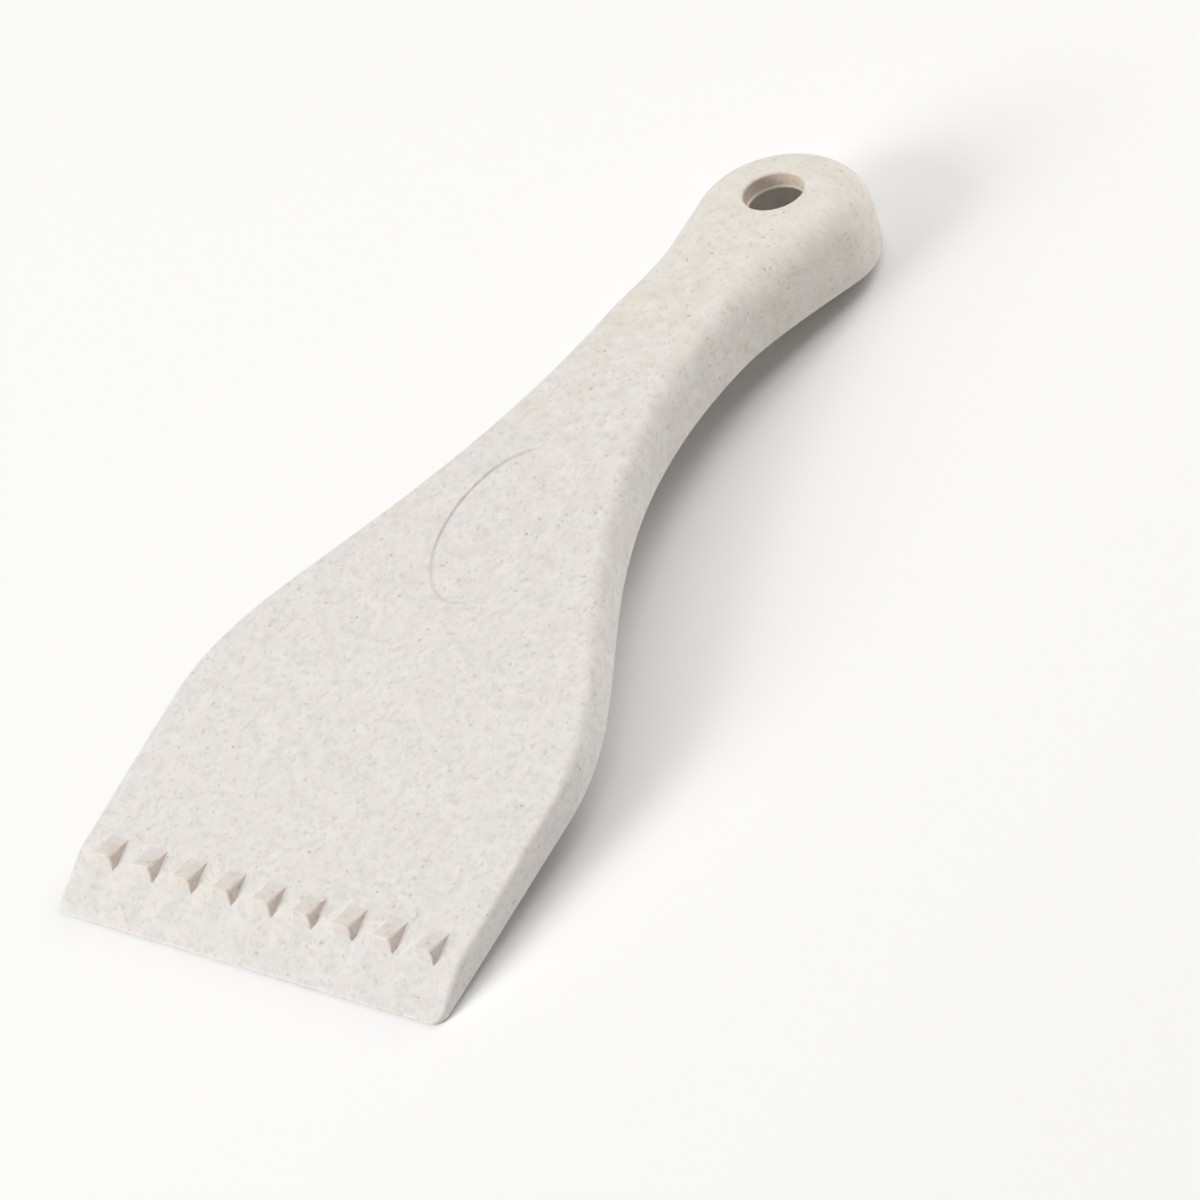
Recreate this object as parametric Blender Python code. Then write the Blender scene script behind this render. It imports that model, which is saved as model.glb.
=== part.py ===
"""One-piece moulded ice scraper: wide bevelled blade, row of ice-breaking teeth,
waisted handle that bends down, hang hole and a ribbed, open underside.

Units are metres, +Z is up. The scraper lies as it does on a table: on the front
edge of the blade and on the rim under the end of the handle.

The shape is worked out on the unrolled top surface. There x runs across the
scraper, s runs along it from the front edge, and d goes down into the plastic,
square to the top. The function place() bends that sheet into the real form.
"""

import math

import bmesh
import bpy
from mathutils import Vector

# Plan outline
BLADE_WIDTH = 0.0900
BLADE_SIDE_END = 0.0457
CORNER_RADIUS = 0.0030
SHOULDER_REACH = 0.0302
NECK_REACH = 0.0629
NECK_WIDTH = 0.0254
NECK_PLACE = 0.1558
FLARE_START_REACH = 0.0070
FLARE_END_REACH = 0.0080
FLARE_END_ANGLE = math.radians(11.2)
HANDLE_WIDTH = 0.0355
HOLE_PLACE = 0.1889
HANDLE_END_RADIUS = 0.0178

# Side profile
STRAIGHT_LENGTH = 0.0594
BEND_RADIUS = 0.4142
BLADE_ROOT_DEPTH = 0.0045
SHOULDER_DEPTH = 0.0083
SHOULDER_PLACE = 0.0900
HANDLE_DEPTH = 0.0166
BEVEL_LENGTH = 0.0113
EDGE_THICKNESS = 0.0007

# Outer edge roundings, each reached at its own distance from the front edge
BLADE_FILLET = 0.0014
BLADE_FILLET_PLACE = 0.0300
SHOULDER_FILLET = 0.0027
SHOULDER_FILLET_PLACE = 0.0900
NECK_FILLET = 0.0042
NECK_FILLET_PLACE = 0.1500
HANDLE_FILLET = 0.0085
HANDLE_FILLET_PLACE = 0.1720
FILLET_WALL_SHARE = 0.4
BLADE_RIM_ROUNDING = 0.0003
HANDLE_RIM_ROUNDING = 0.0012
RIM_ROUNDING_START = 0.1200
RIM_ROUNDING_END = 0.1800

# Walls, ribs and hollow underside
TOP_WALL = 0.0034
SIDE_WALL = 0.0026
HOLLOW_START = 0.0260
HOLLOW_CORNER = 0.0020
INNER_FILLET = 0.0008
RIB_THICKNESS = 0.0018
RIB_SETBACK = 0.0008
LONG_RIB_SPACING = 0.0145
CENTRE_RIB_END = 0.1690
SIDE_RIB_END = 0.1260
FIRST_CROSS_RIB = 0.0500
CROSS_RIB_PITCH = 0.0238
CROSS_RIB_COUNT = 6
OVERRUN = 0.0020

# Hang hole
HOLE_RADIUS = 0.0059
HOLE_RIM_ROUNDING = 0.0006

# Teeth that break up ice
TOOTH_COUNT = 9
TOOTH_PITCH = 0.00935
TOOTH_WIDTH = 0.0039
TOOTH_TOP_WIDTH = 0.0036
TOOTH_HEIGHT = 0.0024
TOOTH_HEEL_PLACE = 0.0158
TOOTH_PEAK_PLACE = 0.0104
TOOTH_TOE_PLACE = 0.0092
TOOTH_PEAK_FLAT = 0.0003
TOOTH_ROOT = 0.0006

# Thumb rest, a shallow oval dish
THUMB_REST_PLACE = 0.0965
THUMB_REST_LENGTH = 0.0380
THUMB_REST_WIDTH = 0.0230
THUMB_REST_DEPTH = 0.0007
DISH_REACH_SHARE = 1.15

# Smoothness of the solids, in steps
CORNER_STEPS = 6
SIDE_STOP_SHARES = (0.4, 0.6, 0.8, 1.0)
HOLLOW_SIDE_STOP_SHARES = (0.7, 0.9)
HALF_STEP = 0.5
SHOULDER_STEPS = 30
FLARE_STEPS = 10
END_STEPS = 15
FILLET_STEPS = 7
RIM_STEPS = 2
INNER_FILLET_STEPS = 3
HOLE_STEPS = 48
RIM_ROUNDING_STEPS = 3
RIB_STEPS = 12
DISH_STEPS = 44
DISH_RINGS = 5
PROFILE_STEPS = 120

# Finish: pale straw-filled plastic, matt
BODY_COLOUR = (0.760, 0.735, 0.700, 1.0)
BODY_ROUGHNESS = 0.62
BODY_METALLIC = 0.0


def clear_scene():
    """Removes whatever the file holds at the start."""
    for thing in list(bpy.data.objects):
        bpy.data.objects.remove(thing, do_unlink=True)


def ramp(s, stations):
    """Smooth value at s between (place, value) stations, level past both ends."""
    if s <= stations[0][0]:
        return stations[0][1]
    for (s0, v0), (s1, v1) in zip(stations, stations[1:]):
        if s <= s1:
            t = (s - s0) / (s1 - s0)
            return v0 + (v1 - v0) * t * t * (3.0 - 2.0 * t)
    return stations[-1][1]


def plan_end():
    """Distance from the front edge to the handle's end, on the unrolled top."""
    return HOLE_PLACE + HANDLE_END_RADIUS


def bevel_drop(s):
    """How far the blade's top has been cut down at s, for the scraping bevel."""
    if s >= BEVEL_LENGTH:
        return 0.0
    return (BLADE_ROOT_DEPTH - EDGE_THICKNESS) * (1.0 - s / BEVEL_LENGTH)


def depth(s):
    """Distance from the unbevelled top to the rim: a straight wedge, then an easy swell to the end."""
    slope = (SHOULDER_DEPTH - BLADE_ROOT_DEPTH) / SHOULDER_PLACE
    if s <= SHOULDER_PLACE:
        return BLADE_ROOT_DEPTH + slope * s
    span = plan_end() - SHOULDER_PLACE
    t = min(1.0, (s - SHOULDER_PLACE) / span)
    start = SHOULDER_DEPTH * (2.0 * t ** 3 - 3.0 * t ** 2 + 1.0)
    lead = slope * span * (t ** 3 - 2.0 * t ** 2 + t)
    end = HANDLE_DEPTH * (3.0 * t ** 2 - 2.0 * t ** 3)
    return start + lead + end


def fillet(s):
    """Rounding between the top and the side wall."""
    wanted = ramp(s, ((BLADE_FILLET_PLACE, BLADE_FILLET), (SHOULDER_FILLET_PLACE, SHOULDER_FILLET),
                      (NECK_FILLET_PLACE, NECK_FILLET), (HANDLE_FILLET_PLACE, HANDLE_FILLET)))
    return min(wanted, FILLET_WALL_SHARE * (depth(s) - bevel_drop(s)) * (1.0 + wanted / HANDLE_FILLET))


def rim_rounding(s):
    """Rounding of the outer rim, softer under the handle."""
    return ramp(s, ((RIM_ROUNDING_START, BLADE_RIM_ROUNDING), (RIM_ROUNDING_END, HANDLE_RIM_ROUNDING)))


def spine(s):
    """Place and slope of the top surface's middle line, before the scraper is laid down."""
    turn = max(0.0, s - STRAIGHT_LENGTH) / BEND_RADIUS
    y = min(s, STRAIGHT_LENGTH) + BEND_RADIUS * math.sin(turn)
    z = -BEND_RADIUS * (1.0 - math.cos(turn))
    return y, z, turn


def bend(x, s, d):
    """A point of the unrolled form, bent down along the handle."""
    y, z, turn = spine(s)
    return Vector((x, y - d * math.sin(turn), z - d * math.cos(turn)))


def lay_down_angle():
    """Turn about X that puts the front edge and the handle's rim on one level."""
    front = bend(0.0, 0.0, depth(0.0))
    steepest = 0.0
    for step in range(1, PROFILE_STEPS + 1):
        s = plan_end() * step / PROFILE_STEPS
        low = bend(0.0, s, depth(s))
        steepest = max(steepest, math.atan2(front.z - low.z, low.y - front.y))
    return steepest


LAY_DOWN = lay_down_angle()


def place(x, s, d):
    """A point of the unrolled form, bent and laid down as the scraper rests."""
    p = bend(x, s, d)
    c, n = math.cos(LAY_DOWN), math.sin(LAY_DOWN)
    return Vector((p.x, c * p.y - n * p.z, n * p.y + c * p.z))


def stops(count, lead):
    """Even stops from 0 to 1: lead 1 ends on 1, and a lead under 1 misses both ends."""
    return [(number + lead) / count for number in range(count)]


def bezier(p0, p1, p2, p3, at):
    """Points at the given stops of a cubic curve, each with its outward normal."""
    points = []
    for t in at:
        u = 1.0 - t
        x, s = (u ** 3 * a + 3.0 * u * u * t * b + 3.0 * u * t * t * c + t ** 3 * e
                for a, b, c, e in zip(p0, p1, p2, p3))
        dx, ds = (u * u * (b - a) + 2.0 * u * t * (c - b) + t * t * (e - c)
                  for a, b, c, e in zip(p0, p1, p2, p3))
        size = math.hypot(dx, ds)
        points.append((x, s, ds / size, -dx / size))
    return points


def handle_end(half, angle):
    """Point and outward normal of the handle's round end; angle 0 is its widest place."""
    c, n = math.cos(angle), math.sin(angle)
    size = math.hypot(HANDLE_END_RADIUS * c, half * n)
    return half * c, HOLE_PLACE + HANDLE_END_RADIUS * n, HANDLE_END_RADIUS * c / size, half * n / size


def half_outline(start, corner, inset, side_stops, curve_stops):
    """Right half of the plan from the front to the handle's end, moved in by inset.

    Each point is (x, s, normal x, normal s); curve_stops are those of the three curves.
    """
    shoulder, flare, end = curve_stops
    half = BLADE_WIDTH / 2.0 - inset
    points = []
    for step in range(CORNER_STEPS + 1):
        a = math.pi / 2.0 * step / CORNER_STEPS
        nx, ns = math.sin(a), -math.cos(a)
        points.append((half - corner + corner * nx, start + corner + corner * ns, nx, ns))
    points += [(half, s, 1.0, 0.0) for s in side_stops]

    neck = NECK_WIDTH / 2.0
    wide = BLADE_WIDTH / 2.0
    handle = HANDLE_WIDTH / 2.0
    curves = bezier((wide, BLADE_SIDE_END), (wide, BLADE_SIDE_END + SHOULDER_REACH),
                    (neck, NECK_PLACE - NECK_REACH), (neck, NECK_PLACE), shoulder)
    x, s, nx, ns = handle_end(handle, -FLARE_END_ANGLE)
    curves += bezier((neck, NECK_PLACE), (neck, NECK_PLACE + FLARE_START_REACH),
                     (x + FLARE_END_REACH * ns, s - FLARE_END_REACH * nx), (x, s), flare)
    for share in end + [1.0]:
        curves.append(handle_end(handle, share * math.pi / 2.0 - (1.0 - share) * FLARE_END_ANGLE))
    points += [(x - inset * nx, s - inset * ns, nx, ns) for x, s, nx, ns in curves]
    x, s, nx, ns = points[-1]
    points[-1] = (0.0, s, 0.0, 1.0)
    return points


def add_mesh(name, bm):
    """Links a finished mesh to the scene as one smooth object."""
    bmesh.ops.recalc_face_normals(bm, faces=bm.faces)
    mesh = bpy.data.meshes.new(name)
    bm.to_mesh(mesh)
    bm.free()
    thing = bpy.data.objects.new(name, mesh)
    bpy.context.scene.collection.objects.link(thing)
    return thing


def loft_plan(name, half, rings):
    """Closed solid from stacked copies of a plan outline.

    rings is a list of functions of (x, s, normal x, normal s) that give (inset, d).
    """
    bm = bmesh.new()
    loop = half + [(-x, s, -nx, ns) for x, s, nx, ns in reversed(half[:-1])]
    rows = []
    for ring in rings:
        row = []
        for x, s, nx, ns in loop:
            inset, down = ring(s, ns)
            row.append(bm.verts.new(place(x - inset * nx, s - inset * ns, down)))
        rows.append(row)
    count = len(loop)
    for upper, lower in zip(rows, rows[1:]):
        for i in range(count):
            j = (i + 1) % count
            bm.faces.new((upper[i], upper[j], lower[j], lower[i]))
    for row in (rows[0], rows[-1]):
        last = len(half) - 1
        for i in range(last - 1):
            bm.faces.new((row[i], row[i + 1], row[count - 2 - i], row[count - 1 - i]))
        bm.faces.new((row[last - 1], row[last], row[last + 1]))
    return add_mesh(name, bm)


def round_over(radius_at, surface_at, steps):
    """Rings of a rounded top edge, from the top surface out to the side wall."""
    def ring_at(angle):
        def ring(s, ns):
            r = radius_at(s)
            inset = r * (1.0 - math.cos(angle))
            return inset, surface_at(s - inset * ns) + r * (1.0 - math.sin(angle))
        return ring
    return [ring_at(math.pi / 2.0 * (steps - step) / steps) for step in range(steps + 1)]


def round_under(steps):
    """Rings of the rounded outer rim, from the side wall in to the rim's face."""
    def ring_at(angle):
        def ring(s, ns):
            r = rim_rounding(s)
            inset = r * (1.0 - math.cos(angle))
            return inset, depth(s - inset * ns) - r * (1.0 - math.sin(angle))
        return ring
    return [ring_at(math.pi / 2.0 * step / steps) for step in range(steps + 1)]


def outer_form():
    """The scraper's outside, still solid."""
    side = [BEVEL_LENGTH] + [BLADE_SIDE_END * share for share in SIDE_STOP_SHARES]
    curves = (stops(SHOULDER_STEPS, 1.0), stops(FLARE_STEPS, 1.0), stops(END_STEPS, 1.0)[:-1])
    half = half_outline(0.0, CORNER_RADIUS, 0.0, side, curves)
    rings = round_over(fillet, bevel_drop, FILLET_STEPS) + round_under(RIM_STEPS)
    return loft_plan("scraper_body", half, rings)


def hollow_form():
    """The space inside the walls, run out past the rim."""
    side = [BLADE_SIDE_END * share for share in HOLLOW_SIDE_STOP_SHARES]
    curves = (stops(SHOULDER_STEPS, HALF_STEP), stops(FLARE_STEPS, HALF_STEP), stops(END_STEPS, HALF_STEP))
    half = half_outline(HOLLOW_START, HOLLOW_CORNER, SIDE_WALL, side, curves)
    rings = round_over(lambda s: max(INNER_FILLET, fillet(s) - SIDE_WALL), lambda s: TOP_WALL,
                       INNER_FILLET_STEPS)
    rings.append(lambda s, ns: (0.0, depth(s) + OVERRUN))
    return loft_plan("hollow_cutter", half, rings)


def loft_blocks(name, blocks):
    """Separate closed blocks in one object; each is a list of four-cornered sections."""
    bm = bmesh.new()
    for sections in blocks:
        rows = [[bm.verts.new(place(*corner)) for corner in section] for section in sections]
        sides = len(rows[0])
        for near, far in zip(rows, rows[1:]):
            for i in range(sides):
                j = (i + 1) % sides
                bm.faces.new((near[i], near[j], far[j], far[i]))
        bm.faces.new(rows[0])
        bm.faces.new(reversed(rows[-1]))
    return add_mesh(name, bm)


def long_rib(middle, end):
    """Sections of one rib that runs along the scraper."""
    start = HOLLOW_START - OVERRUN
    left, right = middle - RIB_THICKNESS / 2.0, middle + RIB_THICKNESS / 2.0
    top = TOP_WALL / 2.0
    sections = []
    for step in range(RIB_STEPS + 1):
        s = start + (end - start) * step / RIB_STEPS
        low = depth(s) - RIB_SETBACK
        sections.append(((left, s, top), (right, s, top), (right, s, low), (left, s, low)))
    return sections


def long_ribs():
    """Five ribs along the scraper: one in the middle and two on each side."""
    blocks = [long_rib(0.0, CENTRE_RIB_END)]
    for side in (-1.0, 1.0):
        blocks.append(long_rib(side * LONG_RIB_SPACING, SIDE_RIB_END))
        blocks.append(long_rib(side * LONG_RIB_SPACING * 2.0, SIDE_RIB_END))
    return loft_blocks("long_rib_cutter", blocks)


def cross_ribs():
    """Ribs across the scraper at an even pitch; the last stands before the hang hole."""
    reach = BLADE_WIDTH / 2.0
    top = TOP_WALL / 2.0
    blocks = []
    for number in range(CROSS_RIB_COUNT):
        middle = FIRST_CROSS_RIB + number * CROSS_RIB_PITCH
        sections = []
        for x in (-reach, 0.0, reach):
            front, back = middle - RIB_THICKNESS / 2.0, middle + RIB_THICKNESS / 2.0
            low = depth(middle) - RIB_SETBACK
            sections.append(((x, front, top), (x, back, top), (x, back, low), (x, front, low)))
        blocks.append(sections)
    return loft_blocks("cross_rib_cutter", blocks)


def tooth(middle):
    """Sections of one tooth: long slope behind, steep face in front, sunk into the blade."""
    slope = TOOTH_HEIGHT / (TOOTH_HEEL_PLACE - TOOTH_PEAK_PLACE)
    heel = (TOOTH_HEEL_PLACE + TOOTH_ROOT / slope, TOOTH_ROOT)
    peak_back = (TOOTH_PEAK_PLACE + TOOTH_PEAK_FLAT, slope * TOOTH_PEAK_FLAT - TOOTH_HEIGHT)
    peak_front = (TOOTH_PEAK_PLACE - TOOTH_PEAK_FLAT / 2.0, TOOTH_PEAK_FLAT - TOOTH_HEIGHT)
    toe_drop = bevel_drop(TOOTH_TOE_PLACE)
    lean = (peak_front[0] - TOOTH_TOE_PLACE) / (toe_drop - peak_front[1])
    buried = (TOOTH_TOE_PLACE - lean * TOOTH_ROOT, toe_drop + TOOTH_ROOT)
    profile = (heel, peak_back, (TOOTH_PEAK_PLACE, -TOOTH_HEIGHT), peak_front, buried)
    sections = []
    for side in (-1.0, 1.0):
        section = []
        for s, d in profile:
            half = (TOOTH_WIDTH + (TOOTH_WIDTH - TOOTH_TOP_WIDTH) * d / TOOTH_HEIGHT) / 2.0
            section.append((middle + side * half, s, d))
        sections.append(section)
    return sections


def teeth():
    """The row of teeth across the blade, where the flat top meets the bevel."""
    first = -TOOTH_PITCH * (TOOTH_COUNT - 1) / 2.0
    return loft_blocks("teeth_form", [tooth(first + TOOTH_PITCH * number) for number in range(TOOTH_COUNT)])


def spun_form(name, middle, profile, steps, stretch):
    """Closed solid turned from (radius, d) points about the normal at middle."""
    bm = bmesh.new()
    rows = []
    for radius, down in profile:
        row = []
        for step in range(steps):
            a = 2.0 * math.pi * (step + HALF_STEP) / steps
            s = middle + stretch * radius * math.sin(a)
            row.append(bm.verts.new(place(radius * math.cos(a), s, down)))
        rows.append(row)
    for upper, lower in zip(rows, rows[1:]):
        for i in range(steps):
            j = (i + 1) % steps
            bm.faces.new((upper[i], upper[j], lower[j], lower[i]))
    bm.faces.new(rows[0])
    bm.faces.new(reversed(rows[-1]))
    return add_mesh(name, bm)


def hang_hole():
    """Cutter for the hang hole, with a softened upper rim."""
    wide = HOLE_RADIUS + HOLE_RIM_ROUNDING
    profile = [(wide + OVERRUN, -OVERRUN)]
    for step in range(RIM_ROUNDING_STEPS + 1):
        a = math.pi / 4.0 * (1.0 + step / RIM_ROUNDING_STEPS)
        profile.append((wide - HOLE_RIM_ROUNDING * math.sin(a), HOLE_RIM_ROUNDING * (1.0 - math.cos(a))))
    profile.append((HOLE_RADIUS, TOP_WALL + OVERRUN))
    return spun_form("hang_hole_cutter", HOLE_PLACE, profile, HOLE_STEPS, 1.0)


def thumb_rest():
    """Cutter for the dish: a round lens, stretched along the scraper."""
    half = THUMB_REST_WIDTH / 2.0
    profile = [(half * DISH_REACH_SHARE, -OVERRUN)]
    for step in range(DISH_RINGS):
        share = DISH_REACH_SHARE * (1.0 - step / DISH_RINGS)
        profile.append((half * share, THUMB_REST_DEPTH * (1.0 - share * share)))
    return spun_form("thumb_rest_cutter", THUMB_REST_PLACE, profile, DISH_STEPS,
                     THUMB_REST_LENGTH / THUMB_REST_WIDTH)


def combine(body, tool, operation):
    """Adds a Boolean step to the body and keeps the tool out of sight."""
    step = body.modifiers.new(tool.name, "BOOLEAN")
    step.operation = operation
    step.solver = "EXACT"
    step.object = tool
    tool.hide_render = True
    tool.display_type = "WIRE"


def centre_on_base():
    """Moves every mesh so that the body's box stands centred on the origin."""
    body = bpy.data.objects["scraper_body"]
    lows = [min(v.co[axis] for v in body.data.vertices) for axis in range(3)]
    highs = [max(v.co[axis] for v in body.data.vertices) for axis in range(3)]
    shift = Vector((-(lows[0] + highs[0]) / 2.0, -(lows[1] + highs[1]) / 2.0, -lows[2]))
    for thing in bpy.data.objects:
        for vertex in thing.data.vertices:
            vertex.co += shift


def plastic():
    """Pale matt straw-filled plastic."""
    material = bpy.data.materials.new("straw_plastic")
    material.use_nodes = True
    shader = material.node_tree.nodes["Principled BSDF"]
    shader.inputs["Base Color"].default_value = BODY_COLOUR
    shader.inputs["Roughness"].default_value = BODY_ROUGHNESS
    shader.inputs["Metallic"].default_value = BODY_METALLIC
    material.diffuse_color = BODY_COLOUR
    return material


def build():
    """Makes the scraper."""
    clear_scene()
    body = outer_form()
    hollow = hollow_form()
    combine(hollow, long_ribs(), "DIFFERENCE")
    combine(hollow, cross_ribs(), "DIFFERENCE")
    combine(body, teeth(), "UNION")
    combine(body, hollow, "DIFFERENCE")
    combine(body, thumb_rest(), "DIFFERENCE")
    combine(body, hang_hole(), "DIFFERENCE")
    centre_on_base()
    body.data.materials.append(plastic())
    for face in body.data.polygons:
        face.use_smooth = True


build()
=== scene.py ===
"""Studio picture of a moulded ice scraper of pale straw-filled plastic.

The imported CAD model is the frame. Its one node is replaced by a finer mesh of the same
form: drafted teeth with rounded ridges, an eased step round the thumb rest, even outer
roundings, and a hang hole with a rounded upper rim and a thin lower lip. Units are
metres, +Z is up, and the scraper lies on the floor at z = 0.

The form is worked out on the unrolled top surface, as in the part: x runs across,
s runs along from the front edge, and d goes down into the plastic, square to the top.
"""

import math

import bmesh
import bpy
from mathutils import Matrix, Quaternion, Vector


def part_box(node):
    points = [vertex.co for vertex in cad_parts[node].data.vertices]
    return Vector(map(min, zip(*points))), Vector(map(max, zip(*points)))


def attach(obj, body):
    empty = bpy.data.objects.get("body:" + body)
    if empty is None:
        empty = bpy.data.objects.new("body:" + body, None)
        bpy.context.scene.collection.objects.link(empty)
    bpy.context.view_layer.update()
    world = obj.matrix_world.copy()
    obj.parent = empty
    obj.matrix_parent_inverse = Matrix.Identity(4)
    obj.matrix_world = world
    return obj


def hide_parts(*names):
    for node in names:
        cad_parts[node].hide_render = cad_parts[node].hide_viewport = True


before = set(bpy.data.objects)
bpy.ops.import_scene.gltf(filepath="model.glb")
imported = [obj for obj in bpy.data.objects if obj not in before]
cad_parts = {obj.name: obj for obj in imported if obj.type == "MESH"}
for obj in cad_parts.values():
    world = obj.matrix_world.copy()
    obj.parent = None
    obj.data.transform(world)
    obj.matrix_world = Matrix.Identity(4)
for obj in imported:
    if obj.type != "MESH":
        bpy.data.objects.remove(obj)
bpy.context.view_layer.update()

QUARTER_TURN = math.pi / 2.0

# Plan outline
BLADE_WIDTH = 0.0900
BLADE_SIDE_END = 0.0457
CORNER_RADIUS = 0.0030
SHOULDER_REACH = 0.0302
NECK_REACH = 0.0629
NECK_WIDTH = 0.0254
NECK_PLACE = 0.1558
FLARE_START_REACH = 0.0070
FLARE_END_REACH = 0.0080
FLARE_END_ANGLE = math.radians(11.2)
HANDLE_WIDTH = 0.0355
HOLE_PLACE = 0.1889
HANDLE_END_RADIUS = 0.0178

# Side profile
STRAIGHT_LENGTH = 0.0594
BEND_RADIUS = 0.4142
BLADE_ROOT_DEPTH = 0.0045
SHOULDER_DEPTH = 0.0083
SHOULDER_PLACE = 0.0900
HANDLE_DEPTH = 0.0166
BEVEL_LENGTH = 0.0113
BEVEL_CREASE = 0.0004
EDGE_THICKNESS = 0.0007

# Outer edge roundings, each reached at its own distance from the front edge
BLADE_FILLET = 0.0014
BLADE_FILLET_PLACE = 0.0300
SHOULDER_FILLET = 0.0027
SHOULDER_FILLET_PLACE = 0.0900
NECK_FILLET = 0.0042
NECK_FILLET_PLACE = 0.1500
HANDLE_FILLET = 0.0085
HANDLE_FILLET_PLACE = 0.1720
FILLET_WALL_SHARE = 0.4
BLADE_RIM_ROUNDING = 0.0003
HANDLE_RIM_ROUNDING = 0.0012
RIM_ROUNDING_START = 0.1200
RIM_ROUNDING_END = 0.1800

# Walls, ribs and hollow underside
TOP_WALL = 0.0034
SIDE_WALL = 0.0026
HOLLOW_START = 0.0260
HOLLOW_CORNER = 0.0020
INNER_FILLET = 0.0008
RIB_THICKNESS = 0.0018
RIB_SETBACK = 0.0008
LONG_RIB_SPACING = 0.0145
CENTRE_RIB_END = 0.1690
SIDE_RIB_END = 0.1260
FIRST_CROSS_RIB = 0.0500
CROSS_RIB_PITCH = 0.0238
CROSS_RIB_COUNT = 6
OVERRUN = 0.0020

# Hang hole; the rounding of its rim starts at a share of the quarter turn, not quite flat
HOLE_RADIUS = 0.0059
HOLE_RIM_ROUNDING = 0.0006
HOLE_RIM_START_SHARE = 0.2
HOLE_LIP = 0.00035

# Teeth
TOOTH_COUNT = 9
TOOTH_PITCH = 0.00935
TOOTH_WIDTH = 0.0039
TOOTH_HEIGHT = 0.0024
TOOTH_HEEL_PLACE = 0.0158
TOOTH_PEAK_PLACE = 0.0104
TOOTH_TOE_PLACE = 0.0092
TOOTH_DRAFT = math.radians(14.0)
TOOTH_EDGE_ROUNDING = 0.00090
TOOTH_ROUNDING_SHARE = 0.5
TOOTH_LEAST_HEIGHT = 0.0005
TOOTH_PEAK_BLEND = 0.0007
TOOTH_HEEL_BLEND = 0.00008

# Thumb rest
THUMB_REST_PLACE = 0.0965
THUMB_REST_LENGTH = 0.0380
THUMB_REST_WIDTH = 0.0230
THUMB_REST_DEPTH = 0.0008
THUMB_REST_STEP = 0.00045
THUMB_REST_EDGE = 0.00045
THUMB_REST_EDGE_SLOPE = 0.25

# Rows of the top's mesh along the blade's side; the mesh is fine across on the teeth's rows
FRONT_ROWS = (0.0040, 0.0052, 0.0065)
TOOTH_ROWS = (
    0.0082, 0.0086, 0.0089, 0.0090, 0.0091, 0.00915, 0.0092, 0.00925, 0.0093, 0.0094, 0.0096,
    0.0098, 0.0100, 0.0101, 0.0102, 0.01025, 0.0103, 0.01035, 0.0104, 0.01045, 0.0105, 0.0106,
    0.0108, 0.0110, 0.01115, 0.01125, 0.01135, 0.01145, 0.0116, 0.0120, 0.0125, 0.0131, 0.0138,
    0.0145, 0.0151, 0.0154, 0.0156, 0.0157, 0.0158, 0.0159, 0.0161, 0.0166,
)
BLADE_ROWS = (0.0175, 0.0200, 0.0230, 0.0262, 0.0300, 0.0340, 0.0380, 0.0420, BLADE_SIDE_END)

# The hollow's own rows along the blade's side, as shares of its length
HOLLOW_SIDE_SHARES = (0.68, 0.79, 0.91)

# Columns that run everywhere: how many in a tooth's pitch, and how near a tooth's middle they
# rise with its ridge
COARSE_PER_PITCH = 3
RIDGE_REACH = TOOTH_WIDTH / 4.0

# Fineness of the mesh; a lead of half a step keeps the cutters' points off the outside's points
CORNER_STEPS = 8
SHOULDER_STEPS = 64
FLARE_STEPS = 20
END_STEPS = 28
FILLET_STEPS = 12
RIM_STEPS = 4
HOLLOW_SHOULDER_STEPS = 37
HOLLOW_FLARE_STEPS = 11
HOLLOW_END_STEPS = 17
INNER_FILLET_STEPS = 5
HALF_STEP = 0.5
HOLE_STEPS = 96
RIM_ROUNDING_STEPS = 6
LIP_STEPS = 4
DISH_STEPS = 128
DISH_RINGS = 10
DISH_EDGE_STEPS = 7
TOOTH_EDGE_STEPS = 6
RIB_STEPS = 24
PROFILE_STEPS = 120
SHARP_ANGLE = math.radians(38.0)

# The most that the mesh fills of the CAD box
FIT_SHARE = 0.99999


def ramp(s, stations):
    """Smooth value at s between (place, value) stations, level past both ends."""
    if s <= stations[0][0]:
        return stations[0][1]
    for (s0, v0), (s1, v1) in zip(stations, stations[1:]):
        if s <= s1:
            t = (s - s0) / (s1 - s0)
            return v0 + (v1 - v0) * t * t * (3.0 - 2.0 * t)
    return stations[-1][1]


def soft_max(a, b, blend):
    """The larger of two lengths, with a rounded change from one to the other."""
    gap = max(0.0, blend - abs(a - b)) / blend
    return max(a, b) + gap * gap * blend / 4.0


def plan_end():
    """Distance from the front edge to the handle's end, on the unrolled top."""
    return HOLE_PLACE + HANDLE_END_RADIUS


def bevel_drop(s):
    """How far the blade's top has been cut down at s, with an eased crease."""
    slope = (BLADE_ROOT_DEPTH - EDGE_THICKNESS) / BEVEL_LENGTH
    return soft_max(slope * (BEVEL_LENGTH - s), 0.0, BEVEL_CREASE)


def depth(s):
    """Distance from the unbevelled top to the rim: a straight wedge, then an easy swell."""
    slope = (SHOULDER_DEPTH - BLADE_ROOT_DEPTH) / SHOULDER_PLACE
    if s <= SHOULDER_PLACE:
        return BLADE_ROOT_DEPTH + slope * s
    span = plan_end() - SHOULDER_PLACE
    t = min(1.0, (s - SHOULDER_PLACE) / span)
    start = SHOULDER_DEPTH * (2.0 * t ** 3 - 3.0 * t ** 2 + 1.0)
    lead = slope * span * (t ** 3 - 2.0 * t ** 2 + t)
    end = HANDLE_DEPTH * (3.0 * t ** 2 - 2.0 * t ** 3)
    return start + lead + end


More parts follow.
